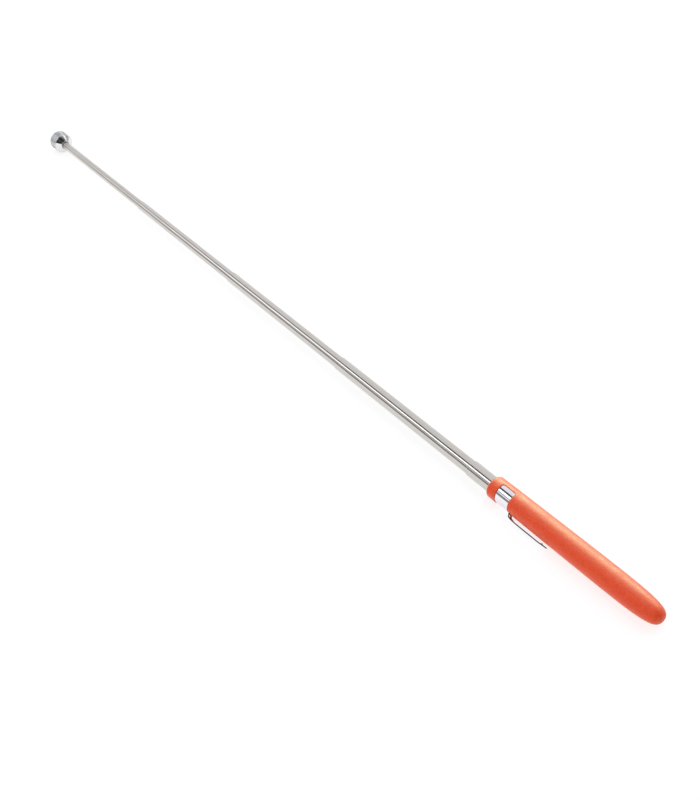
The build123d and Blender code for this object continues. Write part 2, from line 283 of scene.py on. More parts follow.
def vinyl_finish(name, light, deep):
    """Soft dipped vinyl: a fine skin grain, faint cloudiness, and a velvety edge."""
    material, nodes, links = new_material(name)

    coords = nodes.new("ShaderNodeTexCoord")
    cloud = nodes.new("ShaderNodeTexNoise")
    tone = nodes.new("ShaderNodeMix")
    speck = nodes.new("ShaderNodeTexNoise")
    speck_range = nodes.new("ShaderNodeMapRange")
    speckled = nodes.new("ShaderNodeMix")
    rub = nodes.new("ShaderNodeTexNoise")
    rub_range = nodes.new("ShaderNodeMapRange")
    grain = nodes.new("ShaderNodeTexNoise")
    pores = nodes.new("ShaderNodeTexVoronoi")
    skin = nodes.new("ShaderNodeMath")
    grain_bump = nodes.new("ShaderNodeBump")
    dips = nodes.new("ShaderNodeTexNoise")
    dip_bump = nodes.new("ShaderNodeBump")
    shader = nodes.new("ShaderNodeBsdfPrincipled")
    output = nodes.new("ShaderNodeOutputMaterial")
    colour_frame = nodes.new("NodeFrame")
    gloss_frame = nodes.new("NodeFrame")
    skin_frame = nodes.new("NodeFrame")

    for node, label, place, group in (
        (coords, "Place on the sleeve", (-1400, 0), None),
        (cloud, "Clouds in the vinyl", (-1100, 420), colour_frame),
        (tone, "Light to deep vinyl", (-820, 420), colour_frame),
        (speck, "Pigment specks", (-1100, 640), colour_frame),
        (speck_range, "How much specks show", (-820, 640), colour_frame),
        (speckled, "Specked vinyl", (-560, 480), colour_frame),
        (rub, "Hand-rubbed patches", (-1100, 120), gloss_frame),
        (rub_range, "Matte to rubbed", (-820, 120), gloss_frame),
        (grain, "Skin grain", (-1100, -240), skin_frame),
        (pores, "Skin pores", (-1100, -480), skin_frame),
        (skin, "Grain and pores", (-820, -300), skin_frame),
        (grain_bump, "Skin relief", (-560, -300), skin_frame),
        (dips, "Dipping unevenness", (-820, -560), skin_frame),
        (dip_bump, "Uneven skin", (-300, -360), skin_frame),
        (shader, "Vinyl", (0, 100), None),
        (output, "Sleeve surface", (320, 100), None),
    ):
        node.label = label
        node.location = place
        node.parent = group
    colour_frame.label = "Colour"
    gloss_frame.label = "Gloss"
    skin_frame.label = "Skin"

    cloud.inputs["Scale"].default_value = 240
    cloud.inputs["Detail"].default_value = 5
    tone.data_type = "RGBA"
    tone.inputs["A"].default_value = light
    tone.inputs["B"].default_value = deep
    speck.inputs["Scale"].default_value = 1000
    speck.inputs["Detail"].default_value = 2
    speck_range.inputs["From Min"].default_value = 0.35
    speck_range.inputs["From Max"].default_value = 0.75
    speck_range.inputs["To Max"].default_value = 0.55
    speckled.data_type = "RGBA"
    speckled.inputs["B"].default_value = (0.88, 0.125, 0.016, 1)
    rub.inputs["Scale"].default_value = 160
    rub.inputs["Detail"].default_value = 4
    rub_range.inputs["From Min"].default_value = 0.3
    rub_range.inputs["From Max"].default_value = 0.7
    rub_range.inputs["To Min"].default_value = 0.56
    rub_range.inputs["To Max"].default_value = 0.46
    grain.inputs["Scale"].default_value = 3200
    grain.inputs["Detail"].default_value = 3
    pores.inputs["Scale"].default_value = 2200
    skin.operation = "ADD"
    grain_bump.inputs["Strength"].default_value = 0.55
    grain_bump.inputs["Distance"].default_value = 0.00006
    dips.inputs["Scale"].default_value = 240
    dip_bump.inputs["Strength"].default_value = 0.4
    dip_bump.inputs["Distance"].default_value = 0.0003
    shader.inputs["IOR"].default_value = 1.5
    shader.inputs["Specular IOR Level"].default_value = 0.4
    shader.inputs["Sheen Weight"].default_value = 0.35
    shader.inputs["Sheen Roughness"].default_value = 0.5
    shader.inputs["Sheen Tint"].default_value = (1.0, 0.84, 0.60, 1)

    links.new(coords.outputs["Object"], cloud.inputs["Vector"])
    links.new(coords.outputs["Object"], speck.inputs["Vector"])
    links.new(coords.outputs["Object"], rub.inputs["Vector"])
    links.new(coords.outputs["Object"], grain.inputs["Vector"])
    links.new(coords.outputs["Object"], pores.inputs["Vector"])
    links.new(coords.outputs["Object"], dips.inputs["Vector"])
    links.new(cloud.outputs["Fac"], tone.inputs["Factor"])
    links.new(speck.outputs["Fac"], speck_range.inputs["Value"])
    links.new(speck_range.outputs["Result"], speckled.inputs["Factor"])
    links.new(tone.outputs["Result"], speckled.inputs["A"])
    links.new(speckled.outputs["Result"], shader.inputs["Base Color"])
    links.new(rub.outputs["Fac"], rub_range.inputs["Value"])
    links.new(rub_range.outputs["Result"], shader.inputs["Roughness"])
    links.new(grain.outputs["Fac"], skin.inputs[0])
    links.new(pores.outputs["Distance"], skin.inputs[1])
    links.new(skin.outputs["Value"], grain_bump.inputs["Height"])
    links.new(grain_bump.outputs["Normal"], dip_bump.inputs["Normal"])
    links.new(dips.outputs["Fac"], dip_bump.inputs["Height"])
    links.new(dip_bump.outputs["Normal"], shader.inputs["Normal"])
    links.new(shader.outputs["BSDF"], output.inputs["Surface"])
    return material


def metal_finish(name, colour, tarnish, gloss, line_scale, line_depth, stain=0.25, metallic=1.0):
    """Worked metal. line_scale stretches the working lines: along the tool for drawn tubes,
    round it for turned parts. gloss is the roughness of its smoothest and dullest patches."""
    material, nodes, links = new_material(name)

    coords = nodes.new("ShaderNodeTexCoord")
    stretch = nodes.new("ShaderNodeMapping")
    lines = nodes.new("ShaderNodeTexNoise")
    line_bump = nodes.new("ShaderNodeBump")
    line_gloss = nodes.new("ShaderNodeMapRange")
    cloud = nodes.new("ShaderNodeTexNoise")
    cloud_range = nodes.new("ShaderNodeMapRange")
    tone = nodes.new("ShaderNodeMix")
    smudge = nodes.new("ShaderNodeTexNoise")
    smudge_range = nodes.new("ShaderNodeMapRange")
    dull = nodes.new("ShaderNodeMath")
    shader = nodes.new("ShaderNodeBsdfPrincipled")
    output = nodes.new("ShaderNodeOutputMaterial")
    colour_frame = nodes.new("NodeFrame")
    gloss_frame = nodes.new("NodeFrame")
    line_frame = nodes.new("NodeFrame")

    for node, label, place, group in (
        (coords, "Place on the metal", (-1400, 0), None),
        (cloud, "Tarnish clouds", (-1100, 420), colour_frame),
        (cloud_range, "How much tarnish shows", (-820, 420), colour_frame),
        (tone, "Bright to tarnished", (-560, 420), colour_frame),
        (smudge, "Handling smudges", (-1100, 120), gloss_frame),
        (smudge_range, "Smudge dullness", (-820, 120), gloss_frame),
        (line_gloss, "Dullness in the lines", (-820, -120), gloss_frame),
        (dull, "Lines and smudges", (-560, 0), gloss_frame),
        (stretch, "Direction of the lines", (-1100, -380), line_frame),
        (lines, "Working lines", (-820, -380), line_frame),
        (line_bump, "Line relief", (-560, -380), line_frame),
        (shader, "Metal", (-200, 100), None),
        (output, "Metal surface", (120, 100), None),
    ):
        node.label = label
        node.location = place
        node.parent = group
    colour_frame.label = "Colour"
    gloss_frame.label = "Gloss"
    line_frame.label = "Working lines"

    stretch.inputs["Scale"].default_value = line_scale
    lines.inputs["Scale"].default_value = 1
    lines.inputs["Detail"].default_value = 4
    lines.inputs["Roughness"].default_value = 0.6
    line_bump.inputs["Strength"].default_value = 0.6
    line_bump.inputs["Distance"].default_value = line_depth
    line_gloss.inputs["From Min"].default_value = 0.3
    line_gloss.inputs["From Max"].default_value = 0.7
    line_gloss.inputs["To Min"].default_value = gloss[0]
    line_gloss.inputs["To Max"].default_value = gloss[1]
    cloud.inputs["Scale"].default_value = 180
    cloud.inputs["Detail"].default_value = 5
    cloud_range.inputs["From Min"].default_value = 0.4
    cloud_range.inputs["From Max"].default_value = 0.8
    cloud_range.inputs["To Max"].default_value = stain
    tone.data_type = "RGBA"
    tone.inputs["A"].default_value = colour
    tone.inputs["B"].default_value = tarnish
    smudge.inputs["Scale"].default_value = 420
    smudge.inputs["Detail"].default_value = 6
    smudge_range.inputs["From Min"].default_value = 0.5
    smudge_range.inputs["From Max"].default_value = 0.8
    smudge_range.inputs["To Max"].default_value = 0.12
    dull.operation = "ADD"
    dull.use_clamp = True
    shader.inputs["Metallic"].default_value = metallic

    links.new(coords.outputs["Object"], stretch.inputs["Vector"])
    links.new(coords.outputs["Object"], cloud.inputs["Vector"])
    links.new(coords.outputs["Object"], smudge.inputs["Vector"])
    links.new(stretch.outputs["Vector"], lines.inputs["Vector"])
    links.new(lines.outputs["Fac"], line_bump.inputs["Height"])
    links.new(lines.outputs["Fac"], line_gloss.inputs["Value"])
    links.new(cloud.outputs["Fac"], cloud_range.inputs["Value"])
    links.new(cloud_range.outputs["Result"], tone.inputs["Factor"])
    links.new(tone.outputs["Result"], shader.inputs["Base Color"])
    links.new(smudge.outputs["Fac"], smudge_range.inputs["Value"])
    links.new(line_gloss.outputs["Result"], dull.inputs[0])
    links.new(smudge_range.outputs["Result"], dull.inputs[1])
    links.new(dull.outputs["Value"], shader.inputs["Roughness"])
    links.new(line_bump.outputs["Normal"], shader.inputs["Normal"])
    links.new(shader.outputs["BSDF"], output.inputs["Surface"])
    return material


def knurl_finish(name, crest, pit, root, top):
    """Satin plating that is bright on the knurl's crests and darkened in its grooves by painted
    shade, in uneven blotches.
    """
    material, nodes, links = new_material(name)

    coords = nodes.new("ShaderNodeTexCoord")
    across = nodes.new("ShaderNodeVectorMath")
    height = nodes.new("ShaderNodeVectorMath")
    depth = nodes.new("ShaderNodeMapRange")
    groove_shade_noise = nodes.new("ShaderNodeTexNoise")
    blotchy_groove_shade = nodes.new("ShaderNodeMath")
    tone = nodes.new("ShaderNodeMix")
    wear = nodes.new("ShaderNodeMapRange")
    peen = nodes.new("ShaderNodeTexNoise")
    peen_bump = nodes.new("ShaderNodeBump")
    shader = nodes.new("ShaderNodeBsdfPrincipled")
    output = nodes.new("ShaderNodeOutputMaterial")
    groove_frame = nodes.new("NodeFrame")
    gloss_frame = nodes.new("NodeFrame")
    relief_frame = nodes.new("NodeFrame")

    for node, label, place, group in (
        (coords, "Place on the knurl", (-1500, 0), None),
        (across, "Across the axis only", (-1240, 260), groove_frame),
        (height, "Distance from the axis", (-1040, 260), groove_frame),
        (depth, "Groove to crest", (-840, 260), groove_frame),
        (groove_shade_noise, "Painted_shade in the grooves", (-1040, 500), groove_frame),
        (blotchy_groove_shade, "Uneven grime", (-620, 320), groove_frame),
        (tone, "Dark groove to bright crest", (-400, 300), groove_frame),
        (wear, "Polished crests", (-400, 0), gloss_frame),
        (peen, "Pressed surface", (-840, -260), relief_frame),
        (peen_bump, "Surface relief", (-560, -260), relief_frame),
        (shader, "Knurled metal", (-100, 100), None),
        (output, "Knurl surface", (220, 100), None),
    ):
        node.label = label
        node.location = place
        node.parent = group
    groove_frame.label = "Grooves"
    gloss_frame.label = "Gloss"
    relief_frame.label = "Relief"

    across.operation = "MULTIPLY"
    across.inputs[1].default_value = (0, 1, 1)
    height.operation = "LENGTH"
    # Painted shade: the deeper a point lies in a groove, the darker its colour, made blotchy by a
    # noise.
    depth.inputs["From Min"].default_value = root * MM
    depth.inputs["From Max"].default_value = top * MM
    groove_shade_noise.inputs["Scale"].default_value = 900
    groove_shade_noise.inputs["Detail"].default_value = 3
    blotchy_groove_shade.operation = "MULTIPLY_ADD"
    blotchy_groove_shade.use_clamp = True
    blotchy_groove_shade.inputs[2].default_value = 0.12
    tone.data_type = "RGBA"
    tone.inputs["A"].default_value = pit
    tone.inputs["B"].default_value = crest
    wear.inputs["To Min"].default_value = 0.42
    wear.inputs["To Max"].default_value = 0.22
    peen.inputs["Scale"].default_value = 3500
    peen_bump.inputs["Strength"].default_value = 0.3
    peen_bump.inputs["Distance"].default_value = 0.00003
    shader.inputs["Metallic"].default_value = 1

    links.new(coords.outputs["Object"], across.inputs[0])
    links.new(coords.outputs["Object"], groove_shade_noise.inputs["Vector"])
    links.new(coords.outputs["Object"], peen.inputs["Vector"])
    links.new(across.outputs["Vector"], height.inputs[0])
    links.new(height.outputs["Value"], depth.inputs["Value"])
    links.new(depth.outputs["Result"], blotchy_groove_shade.inputs[0])
    links.new(groove_shade_noise.outputs["Fac"], blotchy_groove_shade.inputs[1])
    links.new(blotchy_groove_shade.outputs["Value"], tone.inputs["Factor"])
    links.new(tone.outputs["Result"], shader.inputs["Base Color"])
    links.new(depth.outputs["Result"], wear.inputs["Value"])
    links.new(wear.outputs["Result"], shader.inputs["Roughness"])
    links.new(peen.outputs["Fac"], peen_bump.inputs["Height"])
    links.new(peen_bump.outputs["Normal"], shader.inputs["Normal"])
    links.new(shader.outputs["BSDF"], output.inputs["Surface"])
    return material


def moulded_finish(name, light, dark, gloss, grain_scale, grain_depth, glow=0.0):
    """Rubber, moulded plastic or an opal table lit from below: fine grain over a faintly
    mottled colour. glow is how much light it gives off."""
    material, nodes, links = new_material(name)

    coords = nodes.new("ShaderNodeTexCoord")
    mottle = nodes.new("ShaderNodeTexNoise")
    tone = nodes.new("ShaderNodeMix")
    grain = nodes.new("ShaderNodeTexNoise")
    grain_bump = nodes.new("ShaderNodeBump")
    gloss_range = nodes.new("ShaderNodeMapRange")
    shader = nodes.new("ShaderNodeBsdfPrincipled")
    output = nodes.new("ShaderNodeOutputMaterial")
    colour_frame = nodes.new("NodeFrame")
    grain_frame = nodes.new("NodeFrame")

    for node, label, place, group in (
        (coords, "Place on the piece", (-1200, 0), None),
        (mottle, "Mottling", (-900, 260), colour_frame),
        (tone, "Light to dark", (-640, 260), colour_frame),
        (grain, "Surface grain", (-900, -160), grain_frame),
        (gloss_range, "Gloss of the grain", (-640, -40), grain_frame),
        (grain_bump, "Grain relief", (-640, -300), grain_frame),
        (shader, "Moulded surface", (-300, 80), None),
        (output, "Surface", (20, 80), None),
    ):
        node.label = label
        node.location = place
        node.parent = group
    colour_frame.label = "Colour"
    grain_frame.label = "Grain"

    mottle.inputs["Scale"].default_value = grain_scale / 12
    mottle.inputs["Detail"].default_value = 3
    tone.data_type = "RGBA"
    tone.inputs["A"].default_value = light
    tone.inputs["B"].default_value = dark
    grain.inputs["Scale"].default_value = grain_scale
    grain.inputs["Detail"].default_value = 3
    gloss_range.inputs["To Min"].default_value = gloss[0]
    gloss_range.inputs["To Max"].default_value = gloss[1]
    grain_bump.inputs["Strength"].default_value = 0.5
    grain_bump.inputs["Distance"].default_value = grain_depth
    shader.inputs["IOR"].default_value = 1.45
    shader.inputs["Emission Color"].default_value = (1, 1, 1, 1)
    shader.inputs["Emission Strength"].default_value = glow

    links.new(coords.outputs["Object"], mottle.inputs["Vector"])
    links.new(coords.outputs["Object"], grain.inputs["Vector"])
    links.new(mottle.outputs["Fac"], tone.inputs["Factor"])
    links.new(tone.outputs["Result"], shader.inputs["Base Color"])
    links.new(grain.outputs["Fac"], gloss_range.inputs["Value"])
    links.new(gloss_range.outputs["Result"], shader.inputs["Roughness"])
    links.new(grain.outputs["Fac"], grain_bump.inputs["Height"])
    links.new(grain_bump.outputs["Normal"], shader.inputs["Normal"])
    links.new(shader.outputs["BSDF"], output.inputs["Surface"])
    return material


# How finely the working lines lie in each direction: along the tool, or round it.
ALONG = (40, 5200, 5200)
ROUND = (9000, 60, 60)


# ---------------------------------------------------------------- the pieces


class PICKUPTOOL_OT_tubes(bpy.types.Operator):
    """Models the five drawn tubes with their rolled-in mouths"""

    bl_idname = "pickuptool.tubes"
    bl_label = "Telescoping tubes"

    def execute(self, context):
        sizes = context.scene.pickup_sizes
        colour = context.scene.pickup_colours.tube
        plated = metal_finish(
            "plated_tube", colour, (0.50, 0.45, 0.38, 1), (0.07, 0.15), ALONG, 0.000005
        )
        for n, (name, body) in enumerate(zip(TUBE_NAMES, TUBE_BODIES)):
            node = f"{name}_tube"
            mouth, end = node_ends(node)
            outer = sizes.tube_diameters[n] / 2
            bore = outer - sizes.tube_wall
            lip = sizes.tube_diameters[n + 1] / 2 + 0.05 if n < 4 else bore
            outline = [
                (mouth + 1.0, bore), (mouth + 1.0 - 0.35, lip + 0.02), (mouth + 0.15, lip),
                (mouth, lip + 0.10), (mouth, outer - 0.26), (mouth + 0.10, outer - 0.14),
                (mouth + 0.30, outer - 0.04), (mouth + 0.55, outer),
            ]
            if n > 0:
                bead = node_ends(f"{TUBE_NAMES[n - 1]}_tube")[0] + 1.15
                outline += [
                    (bead, outer), (bead + 0.12, outer + 0.15),
                    (bead + 0.68, outer + 0.15), (bead + 0.8, outer),
                ]
            outline += [(end, outer), (end, bore), outline[0]]
            piece = lathe(f"{name}_drawn_tube", outline, sizes.tube_columns)
            set_in_place(piece, body, plated, node, 50)
        return {"FINISHED"}


class PICKUPTOOL_OT_head(bpy.types.Operator):
    """Models the magnet head: its turned cup, diamond knurl, magnet and gap ring"""

    bl_idname = "pickuptool.head"
    bl_label = "Magnet head"

    def cup(self, context):
        """The turned cup with its soft rim, lands beside the knurl and polished cone."""
        face, end = node_ends("head_housing")
        magnet_bore = node_radius("magnet") + 0.35
        shoulder = 8.8
        land, bed, cone_end, screw_head = 7.3, 6.75, 3.3, 2.6
        screw_seat, plate_seat = 7.4, 5.2
        outline = [
            (face, magnet_bore), (face, land - 0.30), (face + 0.30, land), (face + 0.62, land),
            (face + 0.70, bed), (shoulder - 0.62, bed), (shoulder - 0.56, land),
            (shoulder - 0.22, land), (shoulder, land - 0.22), (end, cone_end),
            (end, SCREW_HOLE), (screw_seat, SCREW_HOLE), (screw_seat, screw_head),
            (plate_seat, screw_head), (plate_seat, magnet_bore), (face, magnet_bore),
        ]
        eased = (
            (((face, land - 0.30), (face + 0.30, land)), 0.14, 3),
            (((shoulder - 0.22, land), (shoulder, land - 0.22), (end, cone_end)), 0.08, 2),
            (((face, magnet_bore), (face + 0.62, land), (shoulder - 0.56, land)), 0.05, 2),
        )
        piece = lathe("head_cup", outline, 128, eased=eased)
        satin = metal_finish(
            "satin_head", context.scene.pickup_colours.head, (0.46, 0.46, 0.45, 1),
            (0.24, 0.36), ROUND, 0.000006,
        )
        set_in_place(piece, "tip_section", satin, "head_housing", 30)
        polished = metal_finish(
            "polished_cone", (0.80, 0.80, 0.80, 1), (0.6, 0.6, 0.6, 1),
            (0.03, 0.08), ROUND, 0.0000015, stain=0.1,
        )
        piece.data.materials.append(polished)
        bpy.ops.object.mode_set(mode="EDIT")
        choose(
            piece, "faces",
            lambda f: f.calc_center_median().x > (shoulder + 0.1) * MM and f.normal.x > 0.2,
        )
        piece.active_material_index = 1
        bpy.ops.object.material_slot_assign()
        bpy.ops.object.mode_set(mode="OBJECT")

    def knurl(self, context):
        """The ring of pressed diamonds: a grid poked into diamonds, each inset and raised."""
        sizes = context.scene.pickup_sizes
        start, end = 0.66, 8.2
        pitch, root = sizes.knurl_pitch, sizes.knurl_root
        rows = 5
        first = (start + end) / 2 - rows * pitch / 2
        piece = start_ring("knurled_ring", first, root, sizes.knurl_columns)
        for row in range(rows):
            extrude_ring((first + row * pitch, root), (first + (row + 1) * pitch, root))
        face_outwards()
        bpy.ops.mesh.select_mode(type="FACE")
        select_all()
        bpy.ops.mesh.poke()
        choose(piece, "verts", lambda v: away(v.co) < root - 0.005)
        spread = 1 / math.cos(math.pi / sizes.knurl_columns)
        bpy.ops.transform.resize(value=(1, spread, spread), center_override=(0, 0, 0))

        def is_grid_line(edge):
            """True round or along the ring, and false for the diamonds' slanting sides."""
            length = abs(edge.verts[0].co.x - edge.verts[1].co.x) / (pitch / 2 * MM)
            return length < 0.1 or length > 1.9

        choose(piece, "edges", lambda e: not e.is_boundary and is_grid_line(e))
        bpy.ops.mesh.dissolve_edges(use_verts=False, use_face_split=False)
        choose(piece, "faces", lambda f: True)
        valley, flank, rise = 0.045, 0.37, 0.45
        bpy.ops.mesh.inset(thickness=valley * MM, use_individual=True, use_boundary=True)
        bpy.ops.mesh.inset(thickness=flank * MM, depth=rise * MM, use_individual=True)
        for place, side in ((start, "clear_inner"), (end, "clear_outer")):
            select_all()
            bpy.ops.mesh.bisect(
                plane_co=(place * MM, 0, 0), plane_no=(1, 0, 0), **{side: True}
            )
        for place in (start, end):
            choose(
                piece, "edges",
                lambda e: e.is_boundary and all(abs(v.co.x / MM - place) < 0.01 for v in e.verts),
            )
            bpy.ops.mesh.extrude_region_move()
            bpy.ops.transform.resize(value=(1, 0.93, 0.93), center_override=(place * MM, 0, 0))
        choose(piece, "edges", lambda e: e.is_boundary)
        bpy.ops.mesh.bridge_edge_loops()
        face_outwards()
        # The second colour is painted shade for the knurl's grooves.
        satin = knurl_finish(
            "knurled_satin", (0.93, 0.955, 0.99, 1), (0.46, 0.47, 0.485, 1), root, root + 0.42
        )
        set_in_place(piece, "tip_section", satin)

    def magnet(self):
        """The magnet's disc, with softly tumbled edges and a faint dish in its face."""
        face, back = node_ends("magnet")
        radius = node_radius("magnet")
        outline = [
            (face + 0.02, 0), (face + 0.015, radius * 0.5), (face, radius * 0.9),
            (face, radius), (back, radius), (back, 0),
        ]
        piece = lathe(
            "magnet_disc", outline, 96, eased=((((face, radius), (back, radius)), 0.16, 4),)
        )
        nickel = metal_finish(
            "magnet_nickel", (0.70, 0.71, 0.69, 1), (0.42, 0.41, 0.38, 1),
            (0.26, 0.40), (2500, 700, 2600), 0.000008, stain=0.45,
        )
        set_in_place(piece, "tip_section", nickel, "magnet", 40)

    def gap_ring(self):
        """The ring between magnet and cup, a little sunk and rounded like set resin."""
        front, back = node_ends("magnet_gap_ring")
        outer = node_radius("magnet_gap_ring")
        inner = node_radius("magnet") + 0.02
        middle = (inner + outer) / 2
        outline = [
            (front + 0.06, inner), (front, middle), (front + 0.06, outer),
            (back, outer), (back, inner), (front + 0.06, inner),
        ]
        piece = lathe("magnet_spacer", outline, 96)
        brass = metal_finish(
            "spacer_brass", (0.52, 0.42, 0.25, 1), (0.15, 0.12, 0.08, 1),
            (0.3, 0.5), ROUND, 0.00001, stain=0.6,
        )
        set_in_place(piece, "tip_section", brass, "magnet_gap_ring", 60)

    def execute(self, context):
        self.cup(context)
        self.knurl(context)
        self.magnet()
        self.gap_ring()
        return {"FINISHED"}


class PICKUPTOOL_OT_neck(bpy.types.Operator):
    """Models the dark collar and the rubber washer behind the head"""

    bl_idname = "pickuptool.neck"
    bl_label = "Neck collar and washer"

    def execute(self, context):
        start, end = node_ends("neck_collar")
        outer = node_radius("neck_collar")
        groove = (start + end) / 2 + 0.1
        outline = [
            (start, SCREW_HOLE), (start, outer), (groove - 0.08, outer), (groove, outer - 0.10),
            (groove + 0.08, outer), (end, outer), (end, SCREW_HOLE), (start, SCREW_HOLE),
        ]
        collar = lathe(
            "turned_collar", outline, 96, eased=((((start, outer), (end, outer)), 0.1, 3),)
        )
        dark = metal_finish(
            "dark_collar", (0.50, 0.51, 0.50, 1), (0.25, 0.25, 0.25, 1),
            (0.22, 0.34), ROUND, 0.000006,
        )
        set_in_place(collar, "tip_section", dark, "neck_collar", 40)

        start, end = node_ends("neck_washer")
        outer = node_radius("neck_washer")
        outline = [
            (start, SCREW_HOLE), (start, outer), (end, outer), (end, SCREW_HOLE),
            (start, SCREW_HOLE),
        ]
        washer = lathe(
            "rubber_washer", outline, 96, eased=((((start, outer), (end, outer)), 0.16, 4),)
        )
        rubber = moulded_finish(
            "black_rubber", (0.060, 0.060, 0.060, 1), (0.035, 0.035, 0.035, 1),
            (0.55, 0.75), 6000, 0.00002,
        )
        set_in_place(washer, "tip_section", rubber, "neck_washer", 40)
        return {"FINISHED"}


class PICKUPTOOL_OT_sleeve(bpy.types.Operator):
    """Models the soft vinyl sleeve with its window and the notch for the clip"""

    bl_idname = "pickuptool.sleeve"
    bl_label = "Vinyl sleeve"

    columns = 56
    window_columns = 20
    notch_columns = 3
    window = (6.8, 16.5)
    notch_end = 19.5
    window_corner, notch_corner = 1.35, 0.9
    bore = 5.52
    halfway = 6.05  # a radius between the sleeve's bore and its skin

    # The sleeve's outside from its front to the butt, from the handle's front.
    skin = [
        (0.00, 5.30), (0.00, 5.62), (0.05, 5.92), (0.28, 6.2), (0.68, 6.42), (1.25, 6.505),
        (2.6, 6.51), (4.2, 6.53), (5.5, 6.54), (6.25, 6.55), (6.8, 6.56), (7.4, 6.56),
        (8.1, 6.57), (9.6, 6.58), (11.4, 6.6), (13.4, 6.62), (15.2, 6.64), (15.9, 6.64),
        (16.5, 6.65), (17.2, 6.65), (18.1, 6.66), (18.9, 6.67), (19.5, 6.67), (20.3, 6.68),
        (22, 6.69), (25.5, 6.71), (31, 6.75), (38, 6.79), (46, 6.83), (55, 6.88), (65, 6.91),
        (76, 6.94), (86, 6.95), (94, 6.9), (101, 6.75), (106, 6.52), (110, 6.19), (113, 5.79),
        (115.4, 5.28), (117.2, 4.66), (118.5, 3.89), (119.35, 2.96), (119.83, 1.8),
        (119.98, 0.72), (120, 0),
    ]

    # Its inside from the butt to the front. The rows along the opening come between the two.
    rear_lining = [
        (115.2, 0), (115.2, 2.4), (115.2, 4.80), (114.9, 4.90), (108.3, 4.90), (108.1, 4.98),
        (108.1, 5.44), (107.8, bore), (80.0, bore), (50.0, bore), (30.0, bore),
    ]
    front_lining = [
        (4.0, bore), (1.2, bore), (1.0, 5.42), (1.0, 5.15), (0.85, 5.05), (0.15, 5.05), (0, 5.2),
    ]

    def in_opening(self, x, column):
        """True where the window or the clip's notch is open."""
        front, rear = self.window
        inside = front < x < rear and abs(column) < self.window_columns
        return inside or (front < x < self.notch_end and abs(column) < self.notch_columns)

    def column_of(self, point):
        """Columns from the clip's side of the sleeve, from minus to plus half of them."""
        angle = math.atan2(point.y, point.z) - math.atan2(HINGE[1], HINGE[2])
        angle = (angle + math.pi) % (2 * math.pi) - math.pi
        return angle / (2 * math.pi) * self.columns

    def ease_corners(self, piece, corners, radius):
        """Moves the opening's corner points onto round corners of the given radius."""
        step = 2 * math.pi / self.columns
        for x, column, inward_x, inward_column in corners:
            for outer in (False, True):
                mesh = bmesh.from_edit_mesh(piece.data)
                moves = []
                for v in mesh.verts:
                    if (away(v.co) > self.halfway) != outer or not v.is_boundary:
                        continue
                    reach = away(v.co) * step
                    dx = (v.co.x / MM - HANDLE_FRONT - x) * inward_x
                    dc = (self.column_of(v.co) - column) * inward_column * reach
                    if not (-0.01 < dx < radius and -0.01 < dc < radius):
                        continue
                    to_x, to_c = dx - radius, dc - radius
                    span = math.hypot(to_x, to_c)
                    if span <= radius:
                        continue
                    new_x, new_c = (radius + to_x * radius / span, radius + to_c * radius / span)
                    moves.append((v.index, (new_x - dx) * inward_x, (new_c - dc) * inward_column))
                for index, move_x, move_c in moves:
                    mesh = bmesh.from_edit_mesh(piece.data)
                    mesh.verts.ensure_lookup_table()
                    place = mesh.verts[index].co.copy()
                    turned = move_c / away(place)
                    y = place.y * math.cos(turned) + place.z * math.sin(turned)
                    z = place.z * math.cos(turned) - place.y * math.sin(turned)
                    choose(piece, "verts", lambda v: v.index == index)
                    bpy.ops.transform.translate(value=(move_x * MM, y - place.y, z - place.z))

    def execute(self, context):
        rows = [(x, self.bore) for x, r in reversed(self.skin) if 6 < x < 21]
        profile = self.rear_lining + rows + self.front_lining + self.skin
        outline = [(HANDLE_FRONT + x, r) for x, r in profile]
        piece = lathe("vinyl_sleeve", outline, self.columns, CLIP_TURN)

        def is_cut_away(face):
            middle = face.calc_center_median()
            place = (middle.x / MM - HANDLE_FRONT, self.column_of(middle))
            return self.in_opening(*place) and abs(face.normal.x) < 0.5

        choose(piece, "faces", is_cut_away)
        bpy.ops.mesh.delete(type="FACE")
        wide, slot = self.window_columns, self.notch_columns
        near, far = self.window
        self.ease_corners(
            piece,
            [(near, -wide, 1, 1), (near, wide, 1, -1), (far, -wide, -1, 1), (far, wide, -1, -1)],
            self.window_corner,
        )
        self.ease_corners(
            piece,
            [(self.notch_end, -slot, -1, 1), (self.notch_end, slot, -1, -1)],
            self.notch_corner,
        )
        choose(piece, "edges", lambda e: e.is_boundary)
        bpy.ops.mesh.bridge_edge_loops()
        face_outwards()
        bpy.ops.object.mode_set(mode="OBJECT")
        add_smoothing(piece)
        apply_modifiers(piece)
        bpy.ops.object.shade_smooth()
        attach(piece, "handle")
        colours = context.scene.pickup_colours
        coat(piece, vinyl_finish("orange_vinyl", colours.vinyl, colours.vinyl_deep))
        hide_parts("grip_sleeve")
        return {"FINISHED"}


